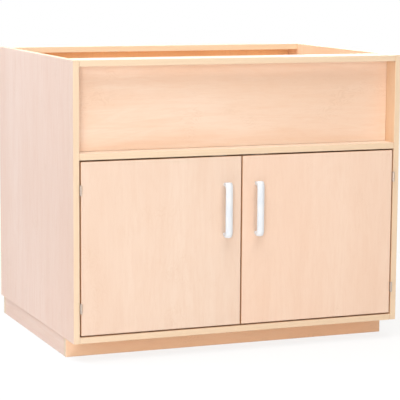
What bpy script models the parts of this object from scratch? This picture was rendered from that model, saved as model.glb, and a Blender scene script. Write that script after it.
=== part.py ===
# Open-topped vanity base with two inset doors, in pale maple-decor board. Front faces -Y, +Z is up, metres.
import math

import bmesh
import bpy
from mathutils import Matrix, Vector

for old in list(bpy.data.objects):
    bpy.data.objects.remove(old, do_unlink=True)

# Carcass sizes
WIDTH = 0.900
DEPTH = 0.685
HEIGHT = 0.756
BOARD = 0.016
BACK_PANEL = 0.008
BACK_PANEL_INSET = 0.003
RAIL_DEPTH = 0.085
BACK_RAIL_DEPTH = 0.073
APRON_HEIGHT = 0.214
APRON_SETBACK = 0.048
EDGE_ROUND = 0.0010

# Base frame under the carcass
PLINTH_HEIGHT = 0.050
PLINTH_FRONT_INSET = 0.081
PLINTH_SIDE_INSET = 0.004
PLINTH_BACK_INSET = 0.015

# Doors: gap round each one, and the gap left between pieces that touch
DOOR_GAP = 0.004
JOINT = 0.0003

# Bow handle: overall length, strap, reach from the door, and place from the door's free and top edges
HANDLE_LENGTH = 0.1425
HANDLE_WIDTH = 0.019
HANDLE_REACH = 0.028
HANDLE_STRAP = 0.0085
HANDLE_CROWN = 0.0045
HANDLE_ROUND = 0.0024
HANDLE_CORNER = 0.015
HANDLE_NECK = 0.015
HANDLE_FOOT_WIDTH = 0.014
HANDLE_SPLAY = 8.0
HANDLE_FROM_EDGE = 0.0415
HANDLE_FROM_TOP = 0.064

# Butt hinge: leaves in the door gap, three knuckles on a headed pin in front of it
HINGE_HEIGHT = 0.024
HINGE_INSET = 0.070
HINGE_OUT = 0.0055
KNUCKLE_RADIUS = 0.0030
PIN_RADIUS = 0.0015
PIN_HEAD_RADIUS = 0.0026
PIN_HEAD = 0.0012
PIN_TIP_RADIUS = 0.0018
LEAF_CLEARANCE = 0.0004
LEAF_MARGIN = 0.003
SCREW_HOLE_RADIUS = 0.0016
SCREW_HOLE_SPACING = 0.0144

# Magnetic catch under the middle shelf, and its strike plate on the back of the door
CATCH_LENGTH = 0.048
CATCH_DEPTH = 0.014
CATCH_EAR = 0.003
CATCH_HOUSING = 0.026
CATCH_HEIGHT = 0.012
CATCH_CORNER = 0.0042
CATCH_ROUND = 0.0006
CATCH_SLOT_RADIUS = 0.0017
CATCH_FROM_EDGE = 0.055
STRIKE_LENGTH = 0.036
STRIKE_HEIGHT = 0.011
STRIKE = 0.001
STRIKE_DROP = 0.001
STRIKE_CORNER = 0.0022

# Facets of a full turn, of a handle corner and of a rounded edge, and slices across the handle's crown
TURN_STEPS = 20
CORNER_STEPS = 8
CROWN_SLICES = 8
ROUND_STEPS = 3

# Planes worked out from the sizes: the origin is under the middle of the whole, handles included
FRONT = (HANDLE_REACH - DEPTH) / 2
BACK = FRONT + DEPTH
INNER = WIDTH / 2 - BOARD
FLOOR_TOP = PLINTH_HEIGHT + BOARD
TOP_UNDER = HEIGHT - BOARD
MIDDLE_TOP = TOP_UNDER - APRON_HEIGHT
MIDDLE_UNDER = MIDDLE_TOP - BOARD
DOOR_BOTTOM = FLOOR_TOP + DOOR_GAP
DOOR_TOP = MIDDLE_UNDER - DOOR_GAP
DOOR_BACK = FRONT + BOARD
HINGE_X = INNER - DOOR_GAP / 2
HINGE_Y = FRONT - HINGE_OUT
LEAF = (DOOR_GAP - 2 * JOINT - LEAF_CLEARANCE) / 2
LEAF_BACK = DOOR_BACK - LEAF_MARGIN

# Finishes: base colour, roughness, metallic
MAPLE = ((0.86, 0.66, 0.48), 0.45, 0.0)
MAPLE_SIDE = ((0.84, 0.66, 0.53), 0.45, 0.0)
MAPLE_PLINTH = ((0.70, 0.47, 0.31), 0.5, 0.0)
WHITE_HANDLE = ((0.90, 0.92, 0.95), 0.3, 0.0)
STEEL = ((0.56, 0.55, 0.53), 0.35, 1.0)
WHITE_PLASTIC = ((0.85, 0.84, 0.80), 0.5, 0.0)


def finish(name, look):
    """One Principled material for one piece."""
    colour, roughness, metallic = look
    material = bpy.data.materials.new(name)
    material.use_nodes = True
    shader = material.node_tree.nodes["Principled BSDF"]
    shader.inputs["Base Color"].default_value = (*colour, 1.0)
    shader.inputs["Roughness"].default_value = roughness
    shader.inputs["Metallic"].default_value = metallic
    return material


def place(name, bm, look, origin=(0.0, 0.0, 0.0), smooth_angle=30.0):
    """Turns a bmesh in world coordinates into a named object whose origin is at the given point."""
    bmesh.ops.recalc_face_normals(bm, faces=bm.faces)
    bmesh.ops.translate(bm, vec=-Vector(origin), verts=bm.verts)
    mesh = bpy.data.meshes.new(name)
    bm.to_mesh(mesh)
    bm.free()
    mesh.shade_smooth()
    mesh.set_sharp_from_angle(angle=math.radians(smooth_angle))
    mesh.materials.append(finish(name, look))
    item = bpy.data.objects.new(name, mesh)
    item.location = origin
    bpy.context.scene.collection.objects.link(item)
    return item


def combine(target, tool, operation):
    """Cuts or joins another object into the target and keeps the result as a plain mesh."""
    modifier = target.modifiers.new(operation.lower(), "BOOLEAN")
    modifier.object = tool
    modifier.operation = operation
    modifier.solver = "EXACT"
    bpy.context.view_layer.update()
    evaluated = target.evaluated_get(bpy.context.evaluated_depsgraph_get())
    mesh = bpy.data.meshes.new_from_object(evaluated)
    target.modifiers.clear()
    target.data = mesh
    bpy.data.objects.remove(tool, do_unlink=True)


def box(low, high):
    """A bmesh box between two corners."""
    low = Vector(low)
    high = Vector(high)
    bm = bmesh.new()
    bmesh.ops.create_cube(bm, size=1.0)
    bmesh.ops.scale(bm, vec=high - low, verts=bm.verts)
    bmesh.ops.translate(bm, vec=(low + high) / 2, verts=bm.verts)
    return bm


def rod(radius, low, high, x, y):
    """An upright bmesh cylinder."""
    bm = bmesh.new()
    centre = Matrix.Translation((x, y, (low + high) / 2))
    bmesh.ops.create_cone(bm, cap_ends=True, segments=TURN_STEPS, radius1=radius, radius2=radius,
                          depth=high - low, matrix=centre)
    return bm


def board(name, low, high, look, origin=(0.0, 0.0, 0.0)):
    """A sawn board with its edge banding slightly rounded."""
    bm = box(low, high)
    bmesh.ops.bevel(bm, geom=bm.edges[:], offset=EDGE_ROUND, segments=2, profile=0.5, affect="EDGES")
    return place(name, bm, look, origin)


def arc(centre, radius, start, end, steps):
    """Points of one arc, angles in degrees."""
    points = []
    for step in range(steps + 1):
        angle = math.radians(start + (end - start) * step / steps)
        points.append((centre[0] + radius * math.cos(angle), centre[1] + radius * math.sin(angle)))
    return points


def handle_stations():
    """Pairs of inner and outer points down the bow, as distance out from the door and height."""
    top = HANDLE_LENGTH / 2
    centre = (HANDLE_REACH - HANDLE_CORNER, top - HANDLE_CORNER)
    start = 90 + HANDLE_SPLAY
    inner = arc(centre, HANDLE_CORNER - HANDLE_STRAP, start, 0, CORNER_STEPS)
    outer = arc(centre, HANDLE_CORNER, start, 0, CORNER_STEPS)
    slope = math.tan(math.radians(HANDLE_SPLAY))
    feet = [(JOINT, up - (out - JOINT) * slope) for out, up in (inner[0], outer[0])]
    upper = [tuple(feet)] + list(zip(inner, outer))
    lower = [tuple((out, -up) for out, up in pair) for pair in reversed(upper)]
    return upper + lower


def strap_section():
    """Half of the strap's section from the middle of its flat back to the middle of its crown."""
    half = HANDLE_WIDTH / 2
    fall = 2 * HANDLE_CROWN / half
    rim = HANDLE_STRAP - HANDLE_CROWN
    shoulder = rim + HANDLE_ROUND * (fall - math.hypot(1, fall))
    lean = math.degrees(math.atan2(1, fall))
    points = arc((half - HANDLE_ROUND, HANDLE_ROUND), HANDLE_ROUND, -90, 0, ROUND_STEPS)
    points += arc((half - HANDLE_ROUND, shoulder), HANDLE_ROUND, 0, lean, ROUND_STEPS)
    edge = points[-1][0]
    for index in range(1, CROWN_SLICES // 2 + 1):
        across = edge * (1 - 2 * index / CROWN_SLICES)
        points.append((across, HANDLE_STRAP - HANDLE_CROWN * (across / half) ** 2))
    return points


def bow_handle(name, x, z, origin):
    """The strap's section carried down the bow: full width in front, its legs tapered to the feet."""
    half_section = strap_section()
    section = half_section + [(-across, height) for across, height in reversed(half_section[:-1])]
    bm = bmesh.new()
    rings = []
    for inner, outer in handle_stations():
        share = min(1.0, (inner[0] + outer[0]) / 2 / HANDLE_NECK)
        share = share * share * (3 - 2 * share)
        narrow = (HANDLE_FOOT_WIDTH + (HANDLE_WIDTH - HANDLE_FOOT_WIDTH) * share) / HANDLE_WIDTH
        ring = []
        for across, height in section:
            part = height / HANDLE_STRAP
            out = inner[0] + (outer[0] - inner[0]) * part
            up = inner[1] + (outer[1] - inner[1]) * part
            ring.append(bm.verts.new((x + across * narrow, FRONT - out, z + up)))
        rings.append(ring)
    count = len(section)
    for near, far in zip(rings, rings[1:]):
        for index in range(count):
            following = (index + 1) % count
            bm.faces.new((near[index], near[following], far[following], far[index]))
    bmesh.ops.triangulate(bm, faces=bm.faces[:])
    bm.faces.new(rings[0])
    bm.faces.new(reversed(rings[-1]))
    return place(name, bm, WHITE_HANDLE, origin)


def knuckle_spans(centre):
    """The three stretches of the barrel, bottom to top, with a running gap between them."""
    third = HINGE_HEIGHT / 3
    start = centre - HINGE_HEIGHT / 2
    gap = JOINT / 2
    return [(start + n * third + gap * (n > 0), start + (n + 1) * third - gap * (n < 2)) for n in range(3)]


def leaf(name, x, plate, centre, own, origin):
    """One hinge leaf: plate in the door gap, rolled knuckles round the pin, notches past the other leaf's."""
    low = centre - HINGE_HEIGHT / 2
    high = centre + HINGE_HEIGHT / 2
    item = place(name, box((plate[0], HINGE_Y, low), (plate[1], LEAF_BACK, high)), STEEL, origin)
    spans = knuckle_spans(centre)
    for index in own:
        bm = rod(KNUCKLE_RADIUS, *spans[index], x, HINGE_Y)
        combine(item, place("knuckle", bm, STEEL), "UNION")
    notch_front = HINGE_Y - 2 * KNUCKLE_RADIUS
    notch_back = HINGE_Y + KNUCKLE_RADIUS + JOINT
    for index in sorted({0, 1, 2} - set(own)):
        foot = spans[index][0] - (JOINT if index else HINGE_HEIGHT)
        head = spans[index][1] + (JOINT if index < 2 else HINGE_HEIGHT)
        reach = 2 * KNUCKLE_RADIUS
        bm = box((x - reach, notch_front, foot), (x + reach, notch_back, head))
        combine(item, place("notch", bm, STEEL), "DIFFERENCE")
    bore = rod(PIN_RADIUS + JOINT, low - HINGE_HEIGHT, high + HINGE_HEIGHT, x, HINGE_Y)
    combine(item, place("bore", bore, STEEL), "DIFFERENCE")
    for side in (-1, 1):
        bm = rod(SCREW_HOLE_RADIUS, -DOOR_GAP, DOOR_GAP, 0.0, 0.0)
        middle = (notch_back + LEAF_BACK) / 2
        turn = Matrix.Rotation(math.pi / 2, 4, "Y")
        bmesh.ops.transform(bm, matrix=turn, verts=bm.verts)
        bmesh.ops.translate(bm, vec=(x, middle, centre + side * SCREW_HOLE_SPACING / 2), verts=bm.verts)
        combine(item, place("screw_hole", bm, STEEL), "DIFFERENCE")
    item.data.set_sharp_from_angle(angle=math.radians(30))
    return item


def pin(name, x, centre):
    """The hinge pin: a plain shank with a domed head at each end of the barrel."""
    shank = HINGE_HEIGHT / 2 + JOINT
    tip = shank + PIN_HEAD
    profile = [(0.0, -tip), (PIN_TIP_RADIUS, -tip), (PIN_HEAD_RADIUS, -(shank + tip) / 2)]
    profile += [(PIN_HEAD_RADIUS, -shank), (PIN_RADIUS, -shank)]
    profile += [(radius, -height) for radius, height in reversed(profile)]
    bm = bmesh.new()
    points = [bm.verts.new((x + radius, HINGE_Y, centre + height)) for radius, height in profile]
    edges = [bm.edges.new(pair) for pair in zip(points, points[1:])]
    bmesh.ops.spin(bm, geom=points + edges, cent=(x, HINGE_Y, centre), axis=(0, 0, 1), angle=2 * math.pi,
                   steps=TURN_STEPS, use_merge=True)
    bmesh.ops.remove_doubles(bm, verts=bm.verts, dist=JOINT / 10)
    return place(name, bm, STEEL)


def hinge(side, level, sign, centre, door_origin):
    """One butt hinge: the frame leaf and pin stay with the side panel, the door leaf turns with the door."""
    name = f"hinge_{side}_{level}"
    x = sign * HINGE_X
    frame_face = sign * (INNER - JOINT)
    door_face = sign * (INNER - DOOR_GAP + JOINT)
    frame_plate = sorted((frame_face, frame_face - sign * LEAF))
    door_plate = sorted((door_face, door_face + sign * LEAF))
    leaf(f"{name}_frame_leaf", x, frame_plate, centre, (0, 2), (0.0, 0.0, 0.0))
    leaf(f"{name}_door_leaf", x, door_plate, centre, (1,), door_origin)
    pin(f"{name}_pin", x, centre)


def catch(name, x):
    """A magnetic catch: a slotted ear plate screwed under the shelf with the magnet housing below it."""
    front = DOOR_BACK + STRIKE + 2 * JOINT
    back = front + CATCH_DEPTH
    top = MIDDLE_UNDER - JOINT
    ear = box((x - CATCH_LENGTH / 2, front, top - CATCH_EAR), (x + CATCH_LENGTH / 2, back, top))
    upright = [e for e in ear.edges if abs(e.verts[0].co.z - e.verts[1].co.z) > CATCH_EAR / 2]
    bmesh.ops.bevel(ear, geom=upright, offset=CATCH_CORNER, segments=4, profile=0.5, affect="EDGES")
    item = place(name, ear, WHITE_PLASTIC)
    overlap = CATCH_EAR / 2
    housing = box((x - CATCH_HOUSING / 2, front, top - CATCH_HEIGHT),
                  (x + CATCH_HOUSING / 2, back, top - overlap))
    bmesh.ops.bevel(housing, geom=housing.edges[:], offset=CATCH_ROUND, segments=2, profile=0.5,
                    affect="EDGES")
    combine(item, place("housing", housing, WHITE_PLASTIC), "UNION")
    for side in (-1, 1):
        centre = x + side * (CATCH_LENGTH + CATCH_HOUSING) / 4
        hole = rod(CATCH_SLOT_RADIUS, top - 2 * CATCH_EAR, top + CATCH_EAR, centre, (front + back) / 2)
        combine(item, place("slot", hole, WHITE_PLASTIC), "DIFFERENCE")
    return item


def door_set(side, sign):
    """Everything that hangs on one pair of hinges, with origins on the hinge axis."""
    axis = (sign * HINGE_X, HINGE_Y, 0.0)
    free_edge = sign * DOOR_GAP / 2
    hung_edge = sign * (INNER - DOOR_GAP)
    left, right = sorted((free_edge, hung_edge))
    board(f"door_{side}", (left, FRONT, DOOR_BOTTOM), (right, DOOR_BACK, DOOR_TOP), MAPLE, axis)
    handle_x = free_edge + sign * HANDLE_FROM_EDGE
    handle_z = DOOR_TOP - HANDLE_FROM_TOP - HANDLE_LENGTH / 2
    bow_handle(f"handle_{side}", handle_x, handle_z, axis)
    hinge(side, "top", sign, DOOR_TOP - HINGE_INSET, axis)
    hinge(side, "bottom", sign, DOOR_BOTTOM + HINGE_INSET, axis)
    catch_x = free_edge + sign * CATCH_FROM_EDGE
    catch(f"catch_{side}", catch_x)
    plate_top = DOOR_TOP - STRIKE_DROP
    plate = box((catch_x - STRIKE_LENGTH / 2, DOOR_BACK + JOINT, plate_top - STRIKE_HEIGHT),
                (catch_x + STRIKE_LENGTH / 2, DOOR_BACK + JOINT + STRIKE, plate_top))
    ends = [e for e in plate.edges if abs(e.verts[0].co.y - e.verts[1].co.y) > STRIKE / 2]
    bmesh.ops.bevel(plate, geom=ends, offset=STRIKE_CORNER, segments=3, profile=0.5, affect="EDGES")
    place(f"strike_{side}", plate, STEEL, axis)


def carcass():
    """Side panels with the floor, shelf, rails, apron and back panel held between them."""
    between = INNER - JOINT
    for side, sign in (("left", -1), ("right", 1)):
        inside, outside = sorted((sign * INNER, sign * WIDTH / 2))
        board(f"side_panel_{side}", (inside, FRONT, PLINTH_HEIGHT), (outside, BACK, HEIGHT), MAPLE_SIDE)
    panel_back = BACK - BACK_PANEL_INSET
    panel_front = panel_back - BACK_PANEL
    board("bottom_panel", (-between, FRONT, PLINTH_HEIGHT), (between, panel_front - JOINT, FLOOR_TOP), MAPLE)
    board("middle_shelf", (-between, FRONT, MIDDLE_UNDER), (between, panel_front - JOINT, MIDDLE_TOP), MAPLE)
    board("top_front_rail", (-between, FRONT, TOP_UNDER), (between, FRONT + RAIL_DEPTH, HEIGHT), MAPLE)
    board("top_back_rail", (-between, BACK - BACK_RAIL_DEPTH, TOP_UNDER), (between, BACK, HEIGHT), MAPLE)
    apron_front = FRONT + APRON_SETBACK
    board("apron_panel", (-between, apron_front, MIDDLE_TOP + JOINT),
          (between, apron_front + BOARD, TOP_UNDER - JOINT), MAPLE)
    board("back_panel", (-between, panel_front, PLINTH_HEIGHT),
          (between, panel_back, TOP_UNDER - JOINT), MAPLE)


def plinth():
    """A frame of four boards set in from the carcass; front and back boards run the full width."""
    half = WIDTH / 2 - PLINTH_SIDE_INSET
    front = FRONT + PLINTH_FRONT_INSET
    back = BACK - PLINTH_BACK_INSET
    top = PLINTH_HEIGHT - JOINT
    board("plinth_front", (-half, front, 0.0), (half, front + BOARD, top), MAPLE_PLINTH)
    board("plinth_back", (-half, back - BOARD, 0.0), (half, back, top), MAPLE_PLINTH)
    for side, sign in (("left", -1), ("right", 1)):
        inside, outside = sorted((sign * (half - BOARD), sign * half))
        near = front + BOARD + JOINT
        far = back - BOARD - JOINT
        board(f"plinth_{side}", (inside, near, 0.0), (outside, far, top), MAPLE_PLINTH)


carcass()
plinth()
door_set("left", -1)
door_set("right", 1)
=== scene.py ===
import math

import bmesh
import bpy
from mathutils import Matrix, Vector


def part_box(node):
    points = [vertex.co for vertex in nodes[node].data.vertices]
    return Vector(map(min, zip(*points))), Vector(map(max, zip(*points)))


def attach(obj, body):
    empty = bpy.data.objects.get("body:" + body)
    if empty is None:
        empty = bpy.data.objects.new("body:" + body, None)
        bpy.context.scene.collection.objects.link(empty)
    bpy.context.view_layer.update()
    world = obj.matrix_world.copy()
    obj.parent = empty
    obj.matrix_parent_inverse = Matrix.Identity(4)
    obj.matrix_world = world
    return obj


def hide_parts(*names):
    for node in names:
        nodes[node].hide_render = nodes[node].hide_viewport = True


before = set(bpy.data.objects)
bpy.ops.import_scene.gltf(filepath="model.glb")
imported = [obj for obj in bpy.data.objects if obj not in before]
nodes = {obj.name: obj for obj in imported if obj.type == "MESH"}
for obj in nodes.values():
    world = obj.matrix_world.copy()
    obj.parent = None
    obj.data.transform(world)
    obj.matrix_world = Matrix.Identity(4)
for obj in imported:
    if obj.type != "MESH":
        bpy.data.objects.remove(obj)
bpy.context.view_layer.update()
scene = bpy.context.scene
scene.view_settings.view_transform = "Standard"


# Camera: a long lens to the left of the cabinet and a little above its top edge.
# Its place and turn were fitted to the straight board edges in the photograph.
CAMERA_PLACE = (-1.7156, -4.3450, 1.0065)
CAMERA_YAW = 21.73
CAMERA_PITCH = -8.01
CAMERA_ROLL = 0.39
CAMERA_SENSOR = 36.0
CAMERA_LENS = 155.36
CAMERA_FAR = 200.0

camera = bpy.data.objects.new("camera", bpy.data.cameras.new("camera"))
camera.data.sensor_width = CAMERA_SENSOR
camera.data.lens = CAMERA_LENS
camera.data.clip_end = CAMERA_FAR
turn = Matrix.Rotation(math.radians(-CAMERA_YAW), 4, "Z")
tilt = Matrix.Rotation(math.radians(90.0 + CAMERA_PITCH), 4, "X")
roll = Matrix.Rotation(math.radians(CAMERA_ROLL), 4, "Z")
camera.matrix_world = Matrix.Translation(CAMERA_PLACE) @ turn @ tilt @ roll
scene.collection.objects.link(camera)
scene.camera = camera


# Studio: a white floor that runs out into a white surround and keeps the cabinet's soft shadow.
# Wide lamps hang over the open top and high in front. Smaller ones fill in from the camera,
# from low in front, from the left and from behind.
FLOOR_HALF = 6.0
FLOOR_SHADE_REACH = 0.75
FLOOR_WHITE_FROM = 1.35
FLOOR_SHADE_SHARE = 0.18
FLOOR_COLOUR = (0.94, 0.94, 0.94, 1.0)
SURROUND_LIGHT = (1.0, 0.99, 0.98, 1.0)
SURROUND_STRENGTH = 0.10
SHOWN_WHITE = (1.0, 1.0, 1.0, 1.0)
# Each lamp's name, place, aim, size, power and colour.
LAMPS = (
    ("lamp_over", (0.0, 0.2, 2.9), (0.0, 0.1, 0.7), 2.6, 50.0, (1.0, 0.92, 0.82)),
    ("lamp_high", (-0.6, -1.75, 3.38), (0.0, -0.3, 0.4), 2.5, 78.5, (0.96, 0.99, 1.0)),
    ("lamp_eye", (-2.2, -4.0, 1.4), (0.0, -0.2, 0.6), 1.1, 54.5, (0.99, 0.98, 0.95)),
    ("lamp_low", (0.2, -3.0, 0.35), (0.0, -0.2, 0.05), 0.8, 10.0, (1.0, 0.75, 0.55)),
    ("lamp_left", (-1.5, 0.55, 2.2), (-0.45, 0.2, 0.65), 1.2, 36.5, (0.72, 0.83, 1.0)),
    ("lamp_back", (2.2, 2.6, 0.9), (0.15, 0.3, 0.4), 1.4, 30.0, (1.0, 0.95, 0.88)),
)


def add(tree, kind, **inputs):
    """Adds a node and sets its plain inputs by name."""
    made = tree.nodes.new(kind)
    for name, value in inputs.items():
        made.inputs[name.replace("_", " ")].default_value = value
    return made


def math_node(tree, operation, *values):
    """A Math node on numbers and other nodes' outputs."""
    made = tree.nodes.new("ShaderNodeMath")
    made.operation = operation
    for socket, value in zip(made.inputs, values):
        if isinstance(value, float):
            socket.default_value = value
        else:
            tree.links.new(value, socket)
    return made.outputs[0]


def shown_white(tree):
    """1 for rays that show the surround itself: straight, mirrored or seen through glass."""
    path = tree.nodes.new("ShaderNodeLightPath")
    seen = math_node(tree, "MAXIMUM", path.outputs["Is Camera Ray"], path.outputs["Is Glossy Ray"])
    return math_node(tree, "MAXIMUM", seen, path.outputs["Is Transmission Ray"])


def smooth_step(tree, value, low, high, to_low=0.0, to_high=1.0):
    """A smooth step of a value between two levels."""
    step = tree.nodes.new("ShaderNodeMapRange")
    step.interpolation_type = "SMOOTHSTEP"
    step.inputs["From Min"].default_value = low
    step.inputs["From Max"].default_value = high
    step.inputs["To Min"].default_value = to_low
    step.inputs["To Max"].default_value = to_high
    tree.links.new(value, step.inputs["Value"])
    return step.outputs["Result"]


def studio_floor():
    """A matt floor that takes the shadow near the cabinet and turns white further out."""
    mesh = bpy.data.meshes.new("studio_floor")
    corners = [(-1, -1), (1, -1), (1, 1), (-1, 1)]
    spots = [(x * FLOOR_HALF, y * FLOOR_HALF, 0.0) for x, y in corners]
    mesh.from_pydata(spots, [], [(0, 1, 2, 3)])
    floor = bpy.data.objects.new("studio_floor", mesh)
    scene.collection.objects.link(floor)
    material = bpy.data.materials.new("studio_floor")
    material.use_nodes = True
    tree = material.node_tree
    tree.nodes.clear()
    matt = add(tree, "ShaderNodeBsdfDiffuse", Color=FLOOR_COLOUR)
    white = add(tree, "ShaderNodeEmission", Strength=1.0)
    place = tree.nodes.new("ShaderNodeTexCoord")
    reach = tree.nodes.new("ShaderNodeVectorMath")
    reach.operation = "LENGTH"
    blend = tree.nodes.new("ShaderNodeMixShader")
    out = tree.nodes.new("ShaderNodeOutputMaterial")
    tree.links.new(place.outputs["Object"], reach.inputs[0])
    fade = smooth_step(tree, reach.outputs["Value"], FLOOR_SHADE_REACH, FLOOR_WHITE_FROM,
                       1.0 - FLOOR_SHADE_SHARE, 1.0)
    tree.links.new(math_node(tree, "MULTIPLY", fade, shown_white(tree)), blend.inputs["Fac"])
    tree.links.new(matt.outputs[0], blend.inputs[1])
    tree.links.new(white.outputs[0], blend.inputs[2])
    tree.links.new(blend.outputs[0], out.inputs["Surface"])
    mesh.materials.append(material)


def surround():
    """A faint even light all round that shows as plain white."""
    world = bpy.data.worlds.new("surround")
    world.use_nodes = True
    tree = world.node_tree
    tree.nodes.clear()
    light = add(tree, "ShaderNodeBackground", Color=SURROUND_LIGHT, Strength=SURROUND_STRENGTH)
    white = add(tree, "ShaderNodeBackground", Color=SHOWN_WHITE, Strength=1.0)
    blend = tree.nodes.new("ShaderNodeMixShader")
    out = tree.nodes.new("ShaderNodeOutputWorld")
    tree.links.new(shown_white(tree), blend.inputs["Fac"])
    tree.links.new(light.outputs[0], blend.inputs[1])
    tree.links.new(white.outputs[0], blend.inputs[2])
    tree.links.new(blend.outputs[0], out.inputs["Surface"])
    scene.world = world


def hang_lamps():
    """Square soft lamps, each turned to its aim and hidden from the camera."""
    for name, place, aim, size, power, colour in LAMPS:
        lamp = bpy.data.lights.new(name, "AREA")
        lamp.shape = "SQUARE"
        lamp.size = size
        lamp.energy = power
        lamp.color = colour
        item = bpy.data.objects.new(name, lamp)
        item.location = place
        item.rotation_euler = (Vector(aim) - Vector(place)).to_track_quat("-Z", "Y").to_euler()
        item.visible_camera = False
        scene.collection.objects.link(item)


studio_floor()
surround()
hang_lamps()


# Side panels: 16 mm chipboard faced both sides with pale maple-decor melamine, the grain upright.
# Front, top and bottom edges carry a cream banding strip; the edge turned to the wall is left raw.
# They are dowelled and glued to the rails and the floor of the cabinet, so no fixing shows outside.
MAPLE_PALE = (0.838, 0.622, 0.508)
MAPLE_DEEP = (0.775, 0.520, 0.396)
MAPLE_FLECK = (0.620, 0.390, 0.240)
# Painted shade: a warmer, more orange maple for boards seen mostly in shadow and lit by light bounced off
# maple.
MAPLE_PAINTED_SHADE = (0.842, 0.600, 0.400)
MAPLE_PAINTED_SHADE_DEEP = (0.778, 0.508, 0.312)
MELAMINE_GLOSS = 0.35
MELAMINE_ROUGHNESS = (0.40, 0.48)
# The print's patterns: scale along and across the grain, levels of the step, share of the darker colour.
BROAD_DRAWN = (1.5, 6.5)
BROAD_LEVELS = (0.30, 0.70)
BROAD_SHARE = 0.50
RIBBON_DRAWN = (3.4, 34.0)
RIBBON_LEVELS = (0.40, 0.68)
RIBBON_SHARE = 0.30
LINE_DRAWN = (2.2, 12.0)
LINE_WAVER = 0.9
LINE_FOLDS = 56.0
LINE_LEVELS = (-0.2, 1.0)
LINE_SHARE = 0.13
STREAK_DRAWN = (13.0, 170.0)
STREAK_LEVELS = (0.42, 0.72)
STREAK_SHARE = 0.24
PATCH_DRAWN = (8.0, 10.0)
PATCH_LEVELS = (0.57, 0.74)
FEATHER_DRAWN = (22.0, 52.0)
FEATHER_WAVER = 0.7
FEATHER_FOLDS = 50.0
FEATHER_LEVELS = (0.0, 1.0)
FLECK_SHARE = 0.15
PORE_DRAWN = (60.0, 800.0)
PORE_LEVELS = (0.58, 0.70)
PORE_SHARE = 0.10
PORE_RELIEF = 0.12
PORE_DEPTH = 0.0002
# How far one step of a board's offset moves the print, so that no two boards show the same figure.
PRINT_STEP = (1.7, 0.9, 1.3)
BAND_CREAM = (0.788, 0.614, 0.444)
BAND_STREAK = (0.737, 0.542, 0.366)
BAND_DRAWN = (4.0, 420.0)
BAND_LEVELS = (0.4, 0.7)
BAND_SHARE = 0.4
BAND_GLOSS = 0.15
CHIP_PALE = (0.520, 0.360, 0.220)
CHIP_DARK = (0.270, 0.165, 0.090)
CHIP_GRIT = (260.0, 260.0, 700.0)
CHIP_GRIT_LEVELS = (0.35, 0.65)
CHIP_SCALE = 420.0
CHIP_REACH = 0.9
CHIP_SHARE = 0.4
# How squarely a face looks along an axis before it counts as turned that way.
FACE_LEVELS = (0.80, 0.90)
AXES = "XYZ"


def drawn_out(grain, along, across):
    """Scale of a pattern that is drawn out along the grain."""
    return tuple(along if axis == grain else across for axis in AXES)


def laid_noise(tree, source, scale, detail, distortion=0.0):
    """Noise on Object coordinates, drawn out by a Mapping node."""
    mapping = add(tree, "ShaderNodeMapping", Scale=scale)
    noise = add(tree, "ShaderNodeTexNoise", Scale=1.0, Detail=detail, Distortion=distortion)
    tree.links.new(source, mapping.inputs["Vector"])
    tree.links.new(mapping.outputs[0], noise.inputs["Vector"])
    return noise.outputs["Fac"]


def tinted(tree, share, first, second):
    """Mixes two colours, each a fixed one or another node's."""
    mix = tree.nodes.new("ShaderNodeMix")
    mix.data_type = "RGBA"
    tree.links.new(share, mix.inputs["Factor"])
    # The Mix node's colour sockets follow its sockets for numbers and vectors.
    colours = (mix.inputs[6], mix.inputs[7])
    for socket, value in zip(colours, (first, second)):
        if isinstance(value, tuple):
            socket.default_value = (*value, 1.0)
        else:
            tree.links.new(value, socket)
    return mix.outputs[2]


def figure(tree, here, grain, drawn, levels, detail=2.0):
    """One pattern of the print, drawn out along the grain and stepped between two levels."""
    return smooth_step(tree, laid_noise(tree, here, drawn_out(grain, *drawn), detail), *levels)


def folded_figure(tree, here, grain, drawn, waver, folds, levels, detail=2.0):
    """Curling lines of the print: a wavering pattern folded over many times."""
    swirl = laid_noise(tree, here, drawn_out(grain, *drawn), detail, waver)
    waves = math_node(tree, "SINE", math_node(tree, "MULTIPLY", swirl, folds))
    return smooth_step(tree, waves, *levels)


def maple_print(tree, here, grain, pale, deep):
    """The printed face: broad bands, ribbons, figure lines, streaks, feathery flecks and short pores."""
    broad = figure(tree, here, grain, BROAD_DRAWN, BROAD_LEVELS)
    ribbon = figure(tree, here, grain, RIBBON_DRAWN, RIBBON_LEVELS)
    lines = folded_figure(tree, here, grain, LINE_DRAWN, LINE_WAVER, LINE_FOLDS, LINE_LEVELS)
    streak = figure(tree, here, grain, STREAK_DRAWN, STREAK_LEVELS)
    patch = figure(tree, here, grain, PATCH_DRAWN, PATCH_LEVELS, detail=1.0)
    feather = folded_figure(tree, here, grain, FEATHER_DRAWN, FEATHER_WAVER, FEATHER_FOLDS,
                            FEATHER_LEVELS, detail=1.0)
    pores = figure(tree, here, grain, PORE_DRAWN, PORE_LEVELS, detail=1.0)
    fleck = math_node(tree, "MULTIPLY", patch, feather)
    colour = pale
    for pattern, share, tint in (
        (broad, BROAD_SHARE, deep),
        (ribbon, RIBBON_SHARE, deep),
        (lines, LINE_SHARE, deep),
        (streak, STREAK_SHARE, deep),
        (fleck, FLECK_SHARE, MAPLE_FLECK),
        (pores, PORE_SHARE, MAPLE_FLECK),
    ):
        colour = tinted(tree, math_node(tree, "MULTIPLY", pattern, share), colour, tint)
    return colour, streak, pores


def raw_chip(tree, here):
    """Sawn chipboard: pale and dark chips of a few millimetres."""
    grit = smooth_step(tree, laid_noise(tree, here, CHIP_GRIT, detail=3.0), *CHIP_GRIT_LEVELS)
    chips = add(tree, "ShaderNodeTexVoronoi", Scale=CHIP_SCALE)
    tree.links.new(here, chips.inputs["Vector"])
    flakes = smooth_step(tree, chips.outputs["Distance"], 0.0, CHIP_REACH, 0.0, CHIP_SHARE)
    return tinted(tree, flakes, tinted(tree, grit, CHIP_DARK, CHIP_PALE), CHIP_PALE)


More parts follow.
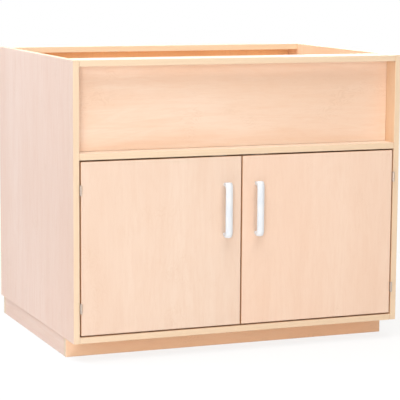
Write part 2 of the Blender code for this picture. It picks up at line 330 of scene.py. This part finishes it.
def maple_board(name, thin, grain, shift, raw_back=False, pale=MAPLE_PALE, deep=MAPLE_DEEP,
                edge=BAND_CREAM, edge_streak=BAND_STREAK):
    """Printed maple on the broad faces, banding on the edges, raw chipboard to the wall if asked."""
    material = bpy.data.materials.new(name)
    material.use_nodes = True
    tree = material.node_tree
    shader = tree.nodes["Principled BSDF"]
    place = tree.nodes.new("ShaderNodeTexCoord")
    moved = add(tree, "ShaderNodeMapping", Location=tuple(shift * step for step in PRINT_STEP))
    tree.links.new(place.outputs["Object"], moved.inputs["Vector"])
    here = moved.outputs[0]
    colour, streak, pores = maple_print(tree, here, grain, pale, deep)
    strip = laid_noise(tree, here, drawn_out(grain, *BAND_DRAWN), detail=2.0)
    band = tinted(tree, smooth_step(tree, strip, *BAND_LEVELS, 0.0, BAND_SHARE), edge, edge_streak)
    facing = tree.nodes.new("ShaderNodeSeparateXYZ")
    tree.links.new(place.outputs["Normal"], facing.inputs[0])
    broad_face = smooth_step(tree, math_node(tree, "ABSOLUTE", facing.outputs[thin]), *FACE_LEVELS)
    colour = tinted(tree, broad_face, band, colour)
    if raw_back:
        to_wall = smooth_step(tree, facing.outputs["Y"], *FACE_LEVELS)
        colour = tinted(tree, to_wall, colour, raw_chip(tree, here))
    relief = add(tree, "ShaderNodeBump", Strength=PORE_RELIEF, Distance=PORE_DEPTH)
    relief.invert = True
    gloss = smooth_step(tree, broad_face, 0.0, 1.0, BAND_GLOSS, MELAMINE_GLOSS)
    dulled = smooth_step(tree, streak, 0.0, 1.0, *MELAMINE_ROUGHNESS)
    tree.links.new(gloss, shader.inputs["Specular IOR Level"])
    tree.links.new(colour, shader.inputs["Base Color"])
    tree.links.new(dulled, shader.inputs["Roughness"])
    tree.links.new(pores, relief.inputs["Height"])
    tree.links.new(relief.outputs[0], shader.inputs["Normal"])
    return material


def dress(node, material):
    """Gives a carried-over solid its finish in its own material slot."""
    mesh = nodes[node].data
    mesh.materials.clear()
    mesh.materials.append(material)


def dress_board(node, thin, grain, shift, **finish):
    """Dresses one board in maple of its own, thin along one axis and with the grain along another."""
    dress(node, maple_board(node, thin, grain, shift, **finish))


dress_board("side_panel_left", "X", "Z", shift=3.5, raw_back=True)
# The right panel's warmer maple is painted shade, for its inner face in the recess and under the back
# rail.
dress_board("side_panel_right", "X", "Z", shift=3.1, raw_back=True, pale=MAPLE_PAINTED_SHADE, deep=MAPLE_PAINTED_SHADE_DEEP)


# Floor of the cabinet and its back: the floor is one more banded board between the sides. Its warmer maple
# is painted shade, the orange of its top seen in the shadowed gap under the doors.
# The back is a thinner sheet whose deep orange is painted shade and bounce light, the glow of the
# cabinet's shadowed inside. It is set a little in from the wall edge of the sides and screwed to the floor
# and the shelf.
BACK_PAINTED_BOUNCE_PALE = (0.874, 0.606, 0.330)
BACK_PAINTED_BOUNCE_DEEP = (0.824, 0.516, 0.262)

dress_board("bottom_panel", "Z", "X", shift=1.4, pale=MAPLE_PAINTED_SHADE, deep=MAPLE_PAINTED_SHADE_DEEP)
dress_board("back_panel", "Y", "Z", shift=7.7, pale=BACK_PAINTED_BOUNCE_PALE, deep=BACK_PAINTED_BOUNCE_DEEP)


# Shelf, rails and apron: boards of the same banded chipboard, dowelled and glued between the sides.
# The shelf over the doors closes the cupboard, and two flat rails at the top carry the worktop.
# The apron closes the front above the shelf, standing well back from its edge.
RAIL_PALE = (0.862, 0.665, 0.560)
RAIL_DEEP = (0.800, 0.565, 0.445)
RAIL_EDGE = (0.850, 0.672, 0.470)
RAIL_EDGE_STREAK = (0.795, 0.595, 0.390)
# Painted light: a paler colour on the shelf's top in front of the apron, where light from above falls on
# it.
LEDGE_PAINTED_LIGHT = (0.890, 0.805, 0.640)
LEDGE_PAINTED_LIGHT_SHARE = 0.45
LEDGE_PAINTED_LIGHT_WIDTH = 0.010
APRON_PALE = (0.884, 0.706, 0.576)
APRON_DEEP = (0.804, 0.541, 0.378)


def paint_ledge_light(material, covered_from):
    """Paints light on top of the shelf: a paler colour over the print, up to where the apron covers it."""
    tree = material.node_tree
    colour = tree.nodes["Principled BSDF"].inputs["Base Color"]
    printed = colour.links[0].from_socket
    place = tree.nodes.new("ShaderNodeTexCoord")
    depth = tree.nodes.new("ShaderNodeSeparateXYZ")
    tree.links.new(place.outputs["Object"], depth.inputs[0])
    facing = tree.nodes.new("ShaderNodeSeparateXYZ")
    tree.links.new(place.outputs["Normal"], facing.inputs[0])
    painted_light_to = covered_from + LEDGE_PAINTED_LIGHT_WIDTH
    share = smooth_step(tree, depth.outputs["Y"], covered_from, painted_light_to, LEDGE_PAINTED_LIGHT_SHARE, 0.0)
    share = math_node(tree, "MULTIPLY", share, smooth_step(tree, facing.outputs["Z"], *FACE_LEVELS))
    tree.links.new(tinted(tree, share, printed, LEDGE_PAINTED_LIGHT), colour)
    return material


shelf_finish = maple_board("middle_shelf", "Z", "X", shift=2.3)
dress("middle_shelf", paint_ledge_light(shelf_finish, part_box("apron_panel")[0].y))
dress_board("top_front_rail", "Z", "X", shift=4.2, pale=RAIL_PALE, deep=RAIL_DEEP)
dress_board("top_back_rail", "Z", "X", shift=5.6, raw_back=True, pale=RAIL_PALE, deep=RAIL_DEEP,
            edge=RAIL_EDGE, edge_streak=RAIL_EDGE_STREAK)
dress_board("apron_panel", "Y", "X", shift=10.16, pale=APRON_PALE, deep=APRON_DEEP)


# Plinth: a dowelled frame of four boards under the cabinet, set well back in front to leave room for toes.
# The front and back boards run the full width, so their banded ends show at the corners.
# The front and back boards take a paler, warmer maple than the plinth's sides: painted light and warm
# painted shade for boards that stand in the shadow under the cabinet.
PLINTH_PAINTED_LIGHT_PALE = (0.965, 0.700, 0.500)
PLINTH_PAINTED_LIGHT_DEEP = (0.945, 0.605, 0.400)

dress_board("plinth_front", "Y", "X", shift=9.36, pale=PLINTH_PAINTED_LIGHT_PALE, deep=PLINTH_PAINTED_LIGHT_DEEP)
dress_board("plinth_back", "Y", "X", shift=9.9, pale=PLINTH_PAINTED_LIGHT_PALE, deep=PLINTH_PAINTED_LIGHT_DEEP)
dress_board("plinth_left", "X", "Y", shift=10.4)
dress_board("plinth_right", "X", "Y", shift=11.8)


# Doors: two flush boards of the same maple, grain upright, banded on all four edges.
# They hang on butt hinges inside the frame, with a narrow gap all round.
# The right one's colours are set paler and redder than the left's: painted light that makes up for the
# lamps lighting it less.
LEFT_DOOR_PALE = (0.797, 0.633, 0.519)
LEFT_DOOR_DEEP = (0.738, 0.532, 0.408)
RIGHT_DOOR_PAINTED_LIGHT_PALE = (0.846, 0.652, 0.526)
RIGHT_DOOR_PAINTED_LIGHT_DEEP = (0.780, 0.546, 0.412)
# The doors' edge banding is a deeper orange-brown than the cream on the other boards: painted shade that
# darkens the gaps round the doors.
GAP_SHADED_DOOR_EDGE = (0.770, 0.480, 0.280)
GAP_SHADED_DOOR_STREAK = (0.700, 0.405, 0.220)

dress_board("door_left", "Y", "Z", shift=16.67, pale=LEFT_DOOR_PALE, deep=LEFT_DOOR_DEEP,
            edge=GAP_SHADED_DOOR_EDGE, edge_streak=GAP_SHADED_DOOR_STREAK)
dress_board("door_right", "Y", "Z", shift=20.05, pale=RIGHT_DOOR_PAINTED_LIGHT_PALE, deep=RIGHT_DOOR_PAINTED_LIGHT_DEEP,
            edge=GAP_SHADED_DOOR_EDGE, edge_streak=GAP_SHADED_DOOR_STREAK)


# Handles: white bow handles, moulded in one piece: a D-shaped strap on two narrower, leaning legs.
# The bends are tight outside and full inside, and the strap's crown flattens out towards the ends.
# Each is bolted through the door from behind, one bolt into each foot.
HANDLE_STRAP = 0.0085
HANDLE_CROWN = 0.0045
HANDLE_END_CROWN = 0.0010
HANDLE_ROUND = 0.0024
HANDLE_CORNER = 0.010
HANDLE_FILLET = 0.012
HANDLE_LEG = 0.009
HANDLE_NECK = 0.015
HANDLE_FOOT_WIDTH = 0.0145
HANDLE_SPLAY = 8.0
HANDLE_LEG_STEPS = 6
HANDLE_BEND_STEPS = 24
HANDLE_ROUND_STEPS = 6
HANDLE_CROWN_STEPS = 12
HANDLE_SMOOTH_ANGLE = 50.0
HANDLE_WHITE = (0.778, 0.816, 0.858)
HANDLE_SHADE = (0.716, 0.768, 0.832)
HANDLE_ROUGHNESS = 0.30
PLASTIC_GLOSS = 0.25
PLASTIC_DULLED = 0.08
CLOUD_SCALE = (60.0, 60.0, 25.0)
CLOUD_LEVELS = (0.3, 0.7)
SKIN_SCALE = (800.0, 800.0, 800.0)
SKIN_LEVELS = (0.3, 0.7)
SKIN_RELIEF = 0.08
SKIN_DEPTH = 0.0002


def arc(centre, radius, start, end, steps):
    """Points of one arc, angles in degrees."""
    points = []
    for step in range(steps + 1):
        angle = math.radians(start + (end - start) * step / steps)
        points.append((centre[0] + radius * math.cos(angle), centre[1] + radius * math.sin(angle)))
    return points


def eased(share):
    """A share from 0 to 1 with a smooth start and end."""
    return share * share * (3 - 2 * share)


def leg_point(bend, foot, share):
    """A point on one side of a leg, a share of the way from the door out to the bend."""
    return bend[0] * share, foot + (bend[1] - foot) * share


def bow_stations(reach, top):
    """Inner and outer points down the bow, as distance out and height, with the share of the crown."""
    start = 90 + HANDLE_SPLAY
    slope = math.tan(math.radians(HANDLE_SPLAY))
    corner = (reach - HANDLE_CORNER, top - HANDLE_CORNER)
    outer = arc(corner, HANDLE_CORNER, start, 0, HANDLE_BEND_STEPS)
    outer_foot = outer[0][1] - outer[0][0] * slope
    inner_foot = outer_foot - HANDLE_LEG
    centre = reach - HANDLE_STRAP - HANDLE_FILLET
    touch = centre + HANDLE_FILLET * math.cos(math.radians(start))
    level = inner_foot + touch * slope - HANDLE_FILLET * math.sin(math.radians(start))
    inner = arc((centre, level), HANDLE_FILLET, start, 0, HANDLE_BEND_STEPS)
    upper = []
    for step in range(HANDLE_LEG_STEPS):
        share = step / HANDLE_LEG_STEPS
        near = leg_point(inner[0], inner_foot, share)
        far = leg_point(outer[0], outer_foot, share)
        upper.append((near, far, 0.0))
    for step, (near, far) in enumerate(zip(inner, outer)):
        upper.append((near, far, eased(step / HANDLE_BEND_STEPS)))
    lower = []
    for near, far, crown in reversed(upper):
        lower.append(((near[0], -near[1]), (far[0], -far[1]), crown))
    return upper + lower


def strap_section(half, crown):
    """The strap's section: a flat back, rounded rims and a crowned front."""
    fall = 2 * crown / half
    shoulder = HANDLE_STRAP - crown + HANDLE_ROUND * (fall - math.hypot(1, fall))
    lean = math.degrees(math.atan2(1, fall))
    side = arc((half - HANDLE_ROUND, HANDLE_ROUND), HANDLE_ROUND, -90, 0, HANDLE_ROUND_STEPS)
    side += arc((half - HANDLE_ROUND, shoulder), HANDLE_ROUND, 0, lean, HANDLE_ROUND_STEPS)
    edge = side[-1][0]
    for step in range(1, HANDLE_CROWN_STEPS + 1):
        across = edge * (1 - step / HANDLE_CROWN_STEPS)
        side.append((across, HANDLE_STRAP - crown * (across / half) ** 2))
    return side + [(-across, height) for across, height in reversed(side[:-1])]


def bow_handle(name, low, high):
    """The section carried down the bow: full width in front, its legs tapered to the feet."""
    middle = (low + high) / 2
    half = (high.x - low.x) / 2
    reach = high.y - low.y
    crowned = strap_section(half, HANDLE_CROWN)
    level = strap_section(half, HANDLE_END_CROWN)
    bm = bmesh.new()
    rings = []
    for inner, outer, full in bow_stations(reach, (high.z - low.z) / 2):
        ring = []
        for plain, bowed in zip(level, crowned):
            across = plain[0] + (bowed[0] - plain[0]) * full
            part = (plain[1] + (bowed[1] - plain[1]) * full) / HANDLE_STRAP
            out = inner[0] + (outer[0] - inner[0]) * part
            up = inner[1] + (outer[1] - inner[1]) * part
            share = eased(min(1.0, out / HANDLE_NECK))
            narrow = (HANDLE_FOOT_WIDTH / 2 * (1 - share) + half * share) / half
            ring.append(bm.verts.new((middle.x + across * narrow, high.y - out, middle.z + up)))
        rings.append(ring)
    for near, far in zip(rings, rings[1:]):
        for index, vert in enumerate(near):
            following = (index + 1) % len(near)
            bm.faces.new((vert, near[following], far[following], far[index]))
    bm.faces.new(rings[0])
    bm.faces.new(reversed(rings[-1]))
    bmesh.ops.recalc_face_normals(bm, faces=bm.faces)
    mesh = bpy.data.meshes.new(name)
    bm.to_mesh(mesh)
    bm.free()
    mesh.shade_smooth()
    mesh.set_sharp_from_angle(angle=math.radians(HANDLE_SMOOTH_ANGLE))
    piece = bpy.data.objects.new(name, mesh)
    scene.collection.objects.link(piece)
    return piece


def satin_white(name, plain, shade, roughness):
    """Smooth moulded plastic: faint clouding and the fine dimpled skin that a mould leaves."""
    material = bpy.data.materials.new(name)
    material.use_nodes = True
    tree = material.node_tree
    shader = tree.nodes["Principled BSDF"]
    place = tree.nodes.new("ShaderNodeTexCoord").outputs["Object"]
    cloud = smooth_step(tree, laid_noise(tree, place, CLOUD_SCALE, detail=2.0), *CLOUD_LEVELS)
    skin = laid_noise(tree, place, SKIN_SCALE, detail=2.0)
    relief = add(tree, "ShaderNodeBump", Strength=SKIN_RELIEF, Distance=SKIN_DEPTH)
    dulled = smooth_step(tree, skin, *SKIN_LEVELS, roughness, roughness + PLASTIC_DULLED)
    shader.inputs["Specular IOR Level"].default_value = PLASTIC_GLOSS
    tree.links.new(tinted(tree, cloud, plain, shade), shader.inputs["Base Color"])
    tree.links.new(dulled, shader.inputs["Roughness"])
    tree.links.new(skin, relief.inputs["Height"])
    tree.links.new(relief.outputs[0], shader.inputs["Normal"])
    return material


for side in ("left", "right"):
    handle = bow_handle(f"bow_handle_{side}", *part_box(f"handle_{side}"))
    white = satin_white(f"handle_white_{side}", HANDLE_WHITE, HANDLE_SHADE, HANDLE_ROUGHNESS)
    handle.data.materials.append(white)
    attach(handle, f"{side}_door")
    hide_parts(f"handle_{side}")


# Screws and bolts: plated steel with a cross recess, all drawn by one tree and set down in groups.
# Pan heads hold the handles, the catches and the back.
# Flat ones sit in the holes of the hinge leaves and on the strike plates.
SCREW_STEEL = (0.640, 0.625, 0.600)
SCREW_DULL = (0.470, 0.455, 0.430)
SCREW_RUBBED = (900.0, 900.0, 900.0)
SCREW_SIDES = 20
RECESS_SPAN = 1.5
RECESS_WIDTH = 0.30
RECESS_DEPTH = 0.70
STEEL_LEVELS = (0.35, 0.70)
STEEL_ROUGHNESS = (0.28, 0.42)
STEEL_RELIEF = 0.10
STEEL_DEPTH = 0.0001


def plated_steel(name, bright, dull, stretch):
    """Zinc-plated steel: dull and bright rubbing along one direction, with roughness to match."""
    material = bpy.data.materials.new(name)
    material.use_nodes = True
    tree = material.node_tree
    shader = tree.nodes["Principled BSDF"]
    place = tree.nodes.new("ShaderNodeTexCoord").outputs["Object"]
    rub = smooth_step(tree, laid_noise(tree, place, stretch, detail=3.0), *STEEL_LEVELS)
    relief = add(tree, "ShaderNodeBump", Strength=STEEL_RELIEF, Distance=STEEL_DEPTH)
    dulled = smooth_step(tree, rub, 0.0, 1.0, *STEEL_ROUGHNESS)
    shader.inputs["Metallic"].default_value = 1.0
    tree.links.new(tinted(tree, rub, bright, dull), shader.inputs["Base Color"])
    tree.links.new(dulled, shader.inputs["Roughness"])
    tree.links.new(rub, relief.inputs["Height"])
    tree.links.new(relief.outputs[0], shader.inputs["Normal"])
    return material


def screw_tree():
    """A cross-recessed head on every point, turned to face the way the point says."""
    tree = bpy.data.node_groups.new("screw_heads", "GeometryNodeTree")
    face = tree.interface
    face.new_socket("Places", in_out="INPUT", socket_type="NodeSocketGeometry")
    for label in ("Head Radius", "Crown Radius", "Head Height", "Recess Width", "Recess Depth"):
        face.new_socket(label, in_out="INPUT", socket_type="NodeSocketFloat")
    face.new_socket("Steel", in_out="INPUT", socket_type="NodeSocketMaterial")
    face.new_socket("Screws", in_out="OUTPUT", socket_type="NodeSocketGeometry")
    given = tree.nodes.new("NodeGroupInput")
    head = add(tree, "GeometryNodeMeshCone", Vertices=SCREW_SIDES)
    tree.links.new(given.outputs["Crown Radius"], head.inputs["Radius Top"])
    tree.links.new(given.outputs["Head Radius"], head.inputs["Radius Bottom"])
    tree.links.new(given.outputs["Head Height"], head.inputs["Depth"])
    twice = math_node(tree, "MULTIPLY", given.outputs["Recess Depth"], 2.0)
    span = math_node(tree, "MULTIPLY", given.outputs["Crown Radius"], RECESS_SPAN)
    lift = tree.nodes.new("ShaderNodeCombineXYZ")
    tree.links.new(given.outputs["Head Height"], lift.inputs["Z"])
    cut = tree.nodes.new("GeometryNodeMeshBoolean")
    cut.operation = "DIFFERENCE"
    cut.solver = "EXACT"
    tree.links.new(head.outputs["Mesh"], cut.inputs["Mesh 1"])
    for long_axis, short_axis in (("X", "Y"), ("Y", "X")):
        size = tree.nodes.new("ShaderNodeCombineXYZ")
        tree.links.new(span, size.inputs[long_axis])
        tree.links.new(given.outputs["Recess Width"], size.inputs[short_axis])
        tree.links.new(twice, size.inputs["Z"])
        slot = tree.nodes.new("GeometryNodeMeshCube")
        tree.links.new(size.outputs[0], slot.inputs["Size"])
        raised = tree.nodes.new("GeometryNodeTransform")
        tree.links.new(slot.outputs["Mesh"], raised.inputs["Geometry"])
        tree.links.new(lift.outputs[0], raised.inputs["Translation"])
        tree.links.new(raised.outputs["Geometry"], cut.inputs["Mesh 2"])
    facing = tree.nodes.new("GeometryNodeInputNamedAttribute")
    facing.data_type = "FLOAT_VECTOR"
    facing.inputs["Name"].default_value = "facing"
    aim = tree.nodes.new("FunctionNodeAlignRotationToVector")
    aim.axis = "Z"
    tree.links.new(facing.outputs["Attribute"], aim.inputs["Vector"])
    spread = tree.nodes.new("GeometryNodeInstanceOnPoints")
    tree.links.new(given.outputs["Places"], spread.inputs["Points"])
    tree.links.new(cut.outputs["Mesh"], spread.inputs["Instance"])
    tree.links.new(aim.outputs["Rotation"], spread.inputs["Rotation"])
    real = tree.nodes.new("GeometryNodeRealizeInstances")
    tree.links.new(spread.outputs["Instances"], real.inputs["Geometry"])
    finish = tree.nodes.new("GeometryNodeSetMaterial")
    tree.links.new(real.outputs["Geometry"], finish.inputs["Geometry"])
    tree.links.new(given.outputs["Steel"], finish.inputs["Material"])
    out = tree.nodes.new("NodeGroupOutput")
    tree.links.new(finish.outputs["Geometry"], out.inputs["Screws"])
    return tree


SCREW_TREE = screw_tree()
SCREW_FINISH = plated_steel("screw_steel", SCREW_STEEL, SCREW_DULL, SCREW_RUBBED)


def set_screws(name, body, places, facing, radius, crown, height):
    """One group of screws on one body, left as a plain mesh; the crown is a share of the head's radius."""
    points = bpy.data.meshes.new(name)
    points.from_pydata([tuple(place) for place in places], [], [])
    way = points.attributes.new("facing", "FLOAT_VECTOR", "POINT")
    for item in way.data:
        item.vector = facing
    piece = bpy.data.objects.new(name, points)
    scene.collection.objects.link(piece)
    modifier = piece.modifiers.new("screws", "NODES")
    modifier.node_group = SCREW_TREE
    crown_radius = radius * crown
    sizes = {
        "Head Radius": radius,
        "Crown Radius": crown_radius,
        "Head Height": height,
        "Recess Width": crown_radius * RECESS_WIDTH,
        "Recess Depth": height * RECESS_DEPTH,
        "Steel": SCREW_FINISH,
    }
    for socket in SCREW_TREE.interface.items_tree:
        if socket.in_out == "INPUT" and socket.name in sizes:
            modifier[socket.identifier] = sizes[socket.name]
    shown = piece.evaluated_get(bpy.context.evaluated_depsgraph_get())
    mesh = bpy.data.meshes.new_from_object(shown)
    piece.modifiers.clear()
    piece.data = mesh
    mesh.name = name
    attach(piece, body)


# Handle bolts: two pan-headed steel bolts for each handle, 128 mm apart.
# They pass through the door from behind, one into each foot, so that only their heads show.
BOLT_SPACING = 0.128
BOLT_RADIUS = 0.0042
BOLT_CROWN = 0.72
BOLT_HEIGHT = 0.0026

for side in ("left", "right"):
    low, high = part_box(f"handle_{side}")
    middle = (low + high) / 2
    door_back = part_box(f"door_{side}")[1].y
    bolts = [(middle.x, door_back, middle.z + way * BOLT_SPACING / 2) for way in (-1, 1)]
    set_screws(f"handle_bolts_{side}", f"{side}_door", bolts, (0, 1, 0),
               BOLT_RADIUS, BOLT_CROWN, BOLT_HEIGHT)


# Hinges: small plated-steel butt hinges, one leaf on the side panel and one on the door edge.
# The leaves are rolled into three knuckles round a headed pin; each leaf takes two flush screws.
# The steel's colours are darker and pinker than plain plating: painted shadow of each knuckle on the door
# beside it, and a painted reflection of the maple round it.
HINGE_PAINTED_SHADE_BRIGHT = (0.620, 0.535, 0.470)
HINGE_PAINTED_SHADE_DULL = (0.470, 0.395, 0.340)
HINGE_RUBBED = (900.0, 900.0, 150.0)
HINGE_SCREW_RADIUS = 0.0015
HINGE_SCREW_CROWN = 0.9
HINGE_SCREW_HEIGHT = 0.0012
HINGE_SCREW_SPACING = 0.0144
HINGE_SCREW_FROM_BACK = 0.0076
HINGE_MERGE_WITHIN = 0.000001
HINGE_SMOOTH_ANGLE = 35.0


def smooth_copy(node, body, material):
    """A merged copy of a turned or rolled solid with smooth shading, standing in for it."""
    bm = bmesh.new()
    bm.from_mesh(nodes[node].data)
    bmesh.ops.remove_doubles(bm, verts=bm.verts, dist=HINGE_MERGE_WITHIN)
    mesh = bpy.data.meshes.new(f"{node}_smooth")
    bm.to_mesh(mesh)
    bm.free()
    worn = mesh.attributes.get("custom_normal")
    if worn:
        mesh.attributes.remove(worn)
    mesh.materials.clear()
    mesh.materials.append(material)
    mesh.shade_smooth()
    mesh.set_sharp_from_angle(angle=math.radians(HINGE_SMOOTH_ANGLE))
    piece = bpy.data.objects.new(f"{node}_smooth", mesh)
    scene.collection.objects.link(piece)
    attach(piece, body)
    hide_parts(node)


HINGE_FINISH = plated_steel("hinge_steel", HINGE_PAINTED_SHADE_BRIGHT, HINGE_PAINTED_SHADE_DULL, HINGE_RUBBED)
for side, inward in (("left", 1), ("right", -1)):
    leaves = (
        ("frame_leaf", "cabinet", f"side_panel_{side}", inward),
        ("door_leaf", f"{side}_door", f"door_{side}", -inward),
    )
    for leaf, body, carrier, way in leaves:
        carrier_low, carrier_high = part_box(carrier)
        x = carrier_high.x if way == 1 else carrier_low.x
        places = []
        for level in ("top", "bottom"):
            node = f"hinge_{side}_{level}_{leaf}"
            low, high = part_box(node)
            smooth_copy(node, body, HINGE_FINISH)
            y = high.y - HINGE_SCREW_FROM_BACK
            for step in (-1, 1):
                places.append((x, y, (low.z + high.z + step * HINGE_SCREW_SPACING) / 2))
        set_screws(f"hinge_screws_{side}_{leaf}", body, places, (way, 0, 0),
                   HINGE_SCREW_RADIUS, HINGE_SCREW_CROWN, HINGE_SCREW_HEIGHT)
    for level in ("top", "bottom"):
        smooth_copy(f"hinge_{side}_{level}_pin", "cabinet", HINGE_FINISH)


# Catches: off-white moulded magnet housings, screwed under the shelf through the ears at their ends.
# A thin steel strike plate on the back of each door meets the two pole plates in the housing's face.
CATCH_PLAIN = (0.800, 0.785, 0.735)
CATCH_SHADE = (0.740, 0.725, 0.675)
CATCH_ROUGHNESS = 0.45
CATCH_EAR = 0.003
CATCH_SCREW_SPACING = 0.037
CATCH_SCREW_RADIUS = 0.0026
CATCH_SCREW_CROWN = 0.75
CATCH_SCREW_HEIGHT = 0.0016
POLE_LENGTH = 0.020
POLE_THICK = 0.0012
POLE_PROUD = 0.0001
POLE_SUNK = 0.002
POLE_GAP = 0.0040
STRIKE_RUBBED = (150.0, 900.0, 900.0)
STRIKE_SCREW_SPACING = 0.0300
STRIKE_SCREW_RADIUS = 0.0017
STRIKE_SCREW_CROWN = 0.8
STRIKE_SCREW_HEIGHT = 0.0005


def pole_plates(name, low, high):
    """Two steel strips let into the front of the magnet housing, their edges just proud of it."""
    bm = bmesh.new()
    middle = (low + high) / 2
    face_middle = (low.z + high.z - CATCH_EAR) / 2
    for way in (-1, 1):
        z = face_middle + way * POLE_GAP / 2
        made = bmesh.ops.create_cube(bm, size=1.0)["verts"]
        bmesh.ops.scale(bm, vec=(POLE_LENGTH, POLE_SUNK + POLE_PROUD, POLE_THICK), verts=made)
        y = low.y + (POLE_SUNK - POLE_PROUD) / 2
        bmesh.ops.translate(bm, vec=(middle.x, y, z), verts=made)
    mesh = bpy.data.meshes.new(name)
    bm.to_mesh(mesh)
    bm.free()
    piece = bpy.data.objects.new(name, mesh)
    scene.collection.objects.link(piece)
    return piece


STRIKE_FINISH = plated_steel("strike_steel", SCREW_STEEL, SCREW_DULL, STRIKE_RUBBED)
for side in ("left", "right"):
    low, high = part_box(f"catch_{side}")
    middle = (low + high) / 2
    plastic = satin_white(f"catch_plastic_{side}", CATCH_PLAIN, CATCH_SHADE, CATCH_ROUGHNESS)
    dress(f"catch_{side}", plastic)
    poles = pole_plates(f"catch_poles_{side}", low, high)
    poles.data.materials.append(STRIKE_FINISH)
    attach(poles, "cabinet")
    under = high.z - CATCH_EAR
    ears = [(middle.x + way * CATCH_SCREW_SPACING / 2, middle.y, under) for way in (-1, 1)]
    set_screws(f"catch_screws_{side}", "cabinet", ears, (0, 0, -1),
               CATCH_SCREW_RADIUS, CATCH_SCREW_CROWN, CATCH_SCREW_HEIGHT)
    low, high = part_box(f"strike_{side}")
    middle = (low + high) / 2
    dress(f"strike_{side}", STRIKE_FINISH)
    ends = [(middle.x + way * STRIKE_SCREW_SPACING / 2, high.y, middle.z) for way in (-1, 1)]
    set_screws(f"strike_screws_{side}", f"{side}_door", ends, (0, 1, 0),
               STRIKE_SCREW_RADIUS, STRIKE_SCREW_CROWN, STRIKE_SCREW_HEIGHT)


# Back screws: two rows of pan heads through the back, into the edges of the cabinet's floor and shelf.
# The back stands in far enough for the heads to stay clear of the wall.
BACK_SCREW_COUNT = 7
BACK_SCREW_MARGIN = 0.040
BACK_SCREW_RADIUS = 0.0036
BACK_SCREW_CROWN = 0.72
BACK_SCREW_HEIGHT = 0.0020

sheet_low, sheet_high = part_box("back_panel")
row_start = sheet_low.x + BACK_SCREW_MARGIN
row_step = (sheet_high.x - sheet_low.x - 2 * BACK_SCREW_MARGIN) / (BACK_SCREW_COUNT - 1)
rows = []
for board in ("bottom_panel", "middle_shelf"):
    board_low, board_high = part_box(board)
    row_height = (board_low.z + board_high.z) / 2
    for index in range(BACK_SCREW_COUNT):
        rows.append((row_start + index * row_step, sheet_high.y, row_height))
set_screws("back_screws", "cabinet", rows, (0, 1, 0),
           BACK_SCREW_RADIUS, BACK_SCREW_CROWN, BACK_SCREW_HEIGHT)
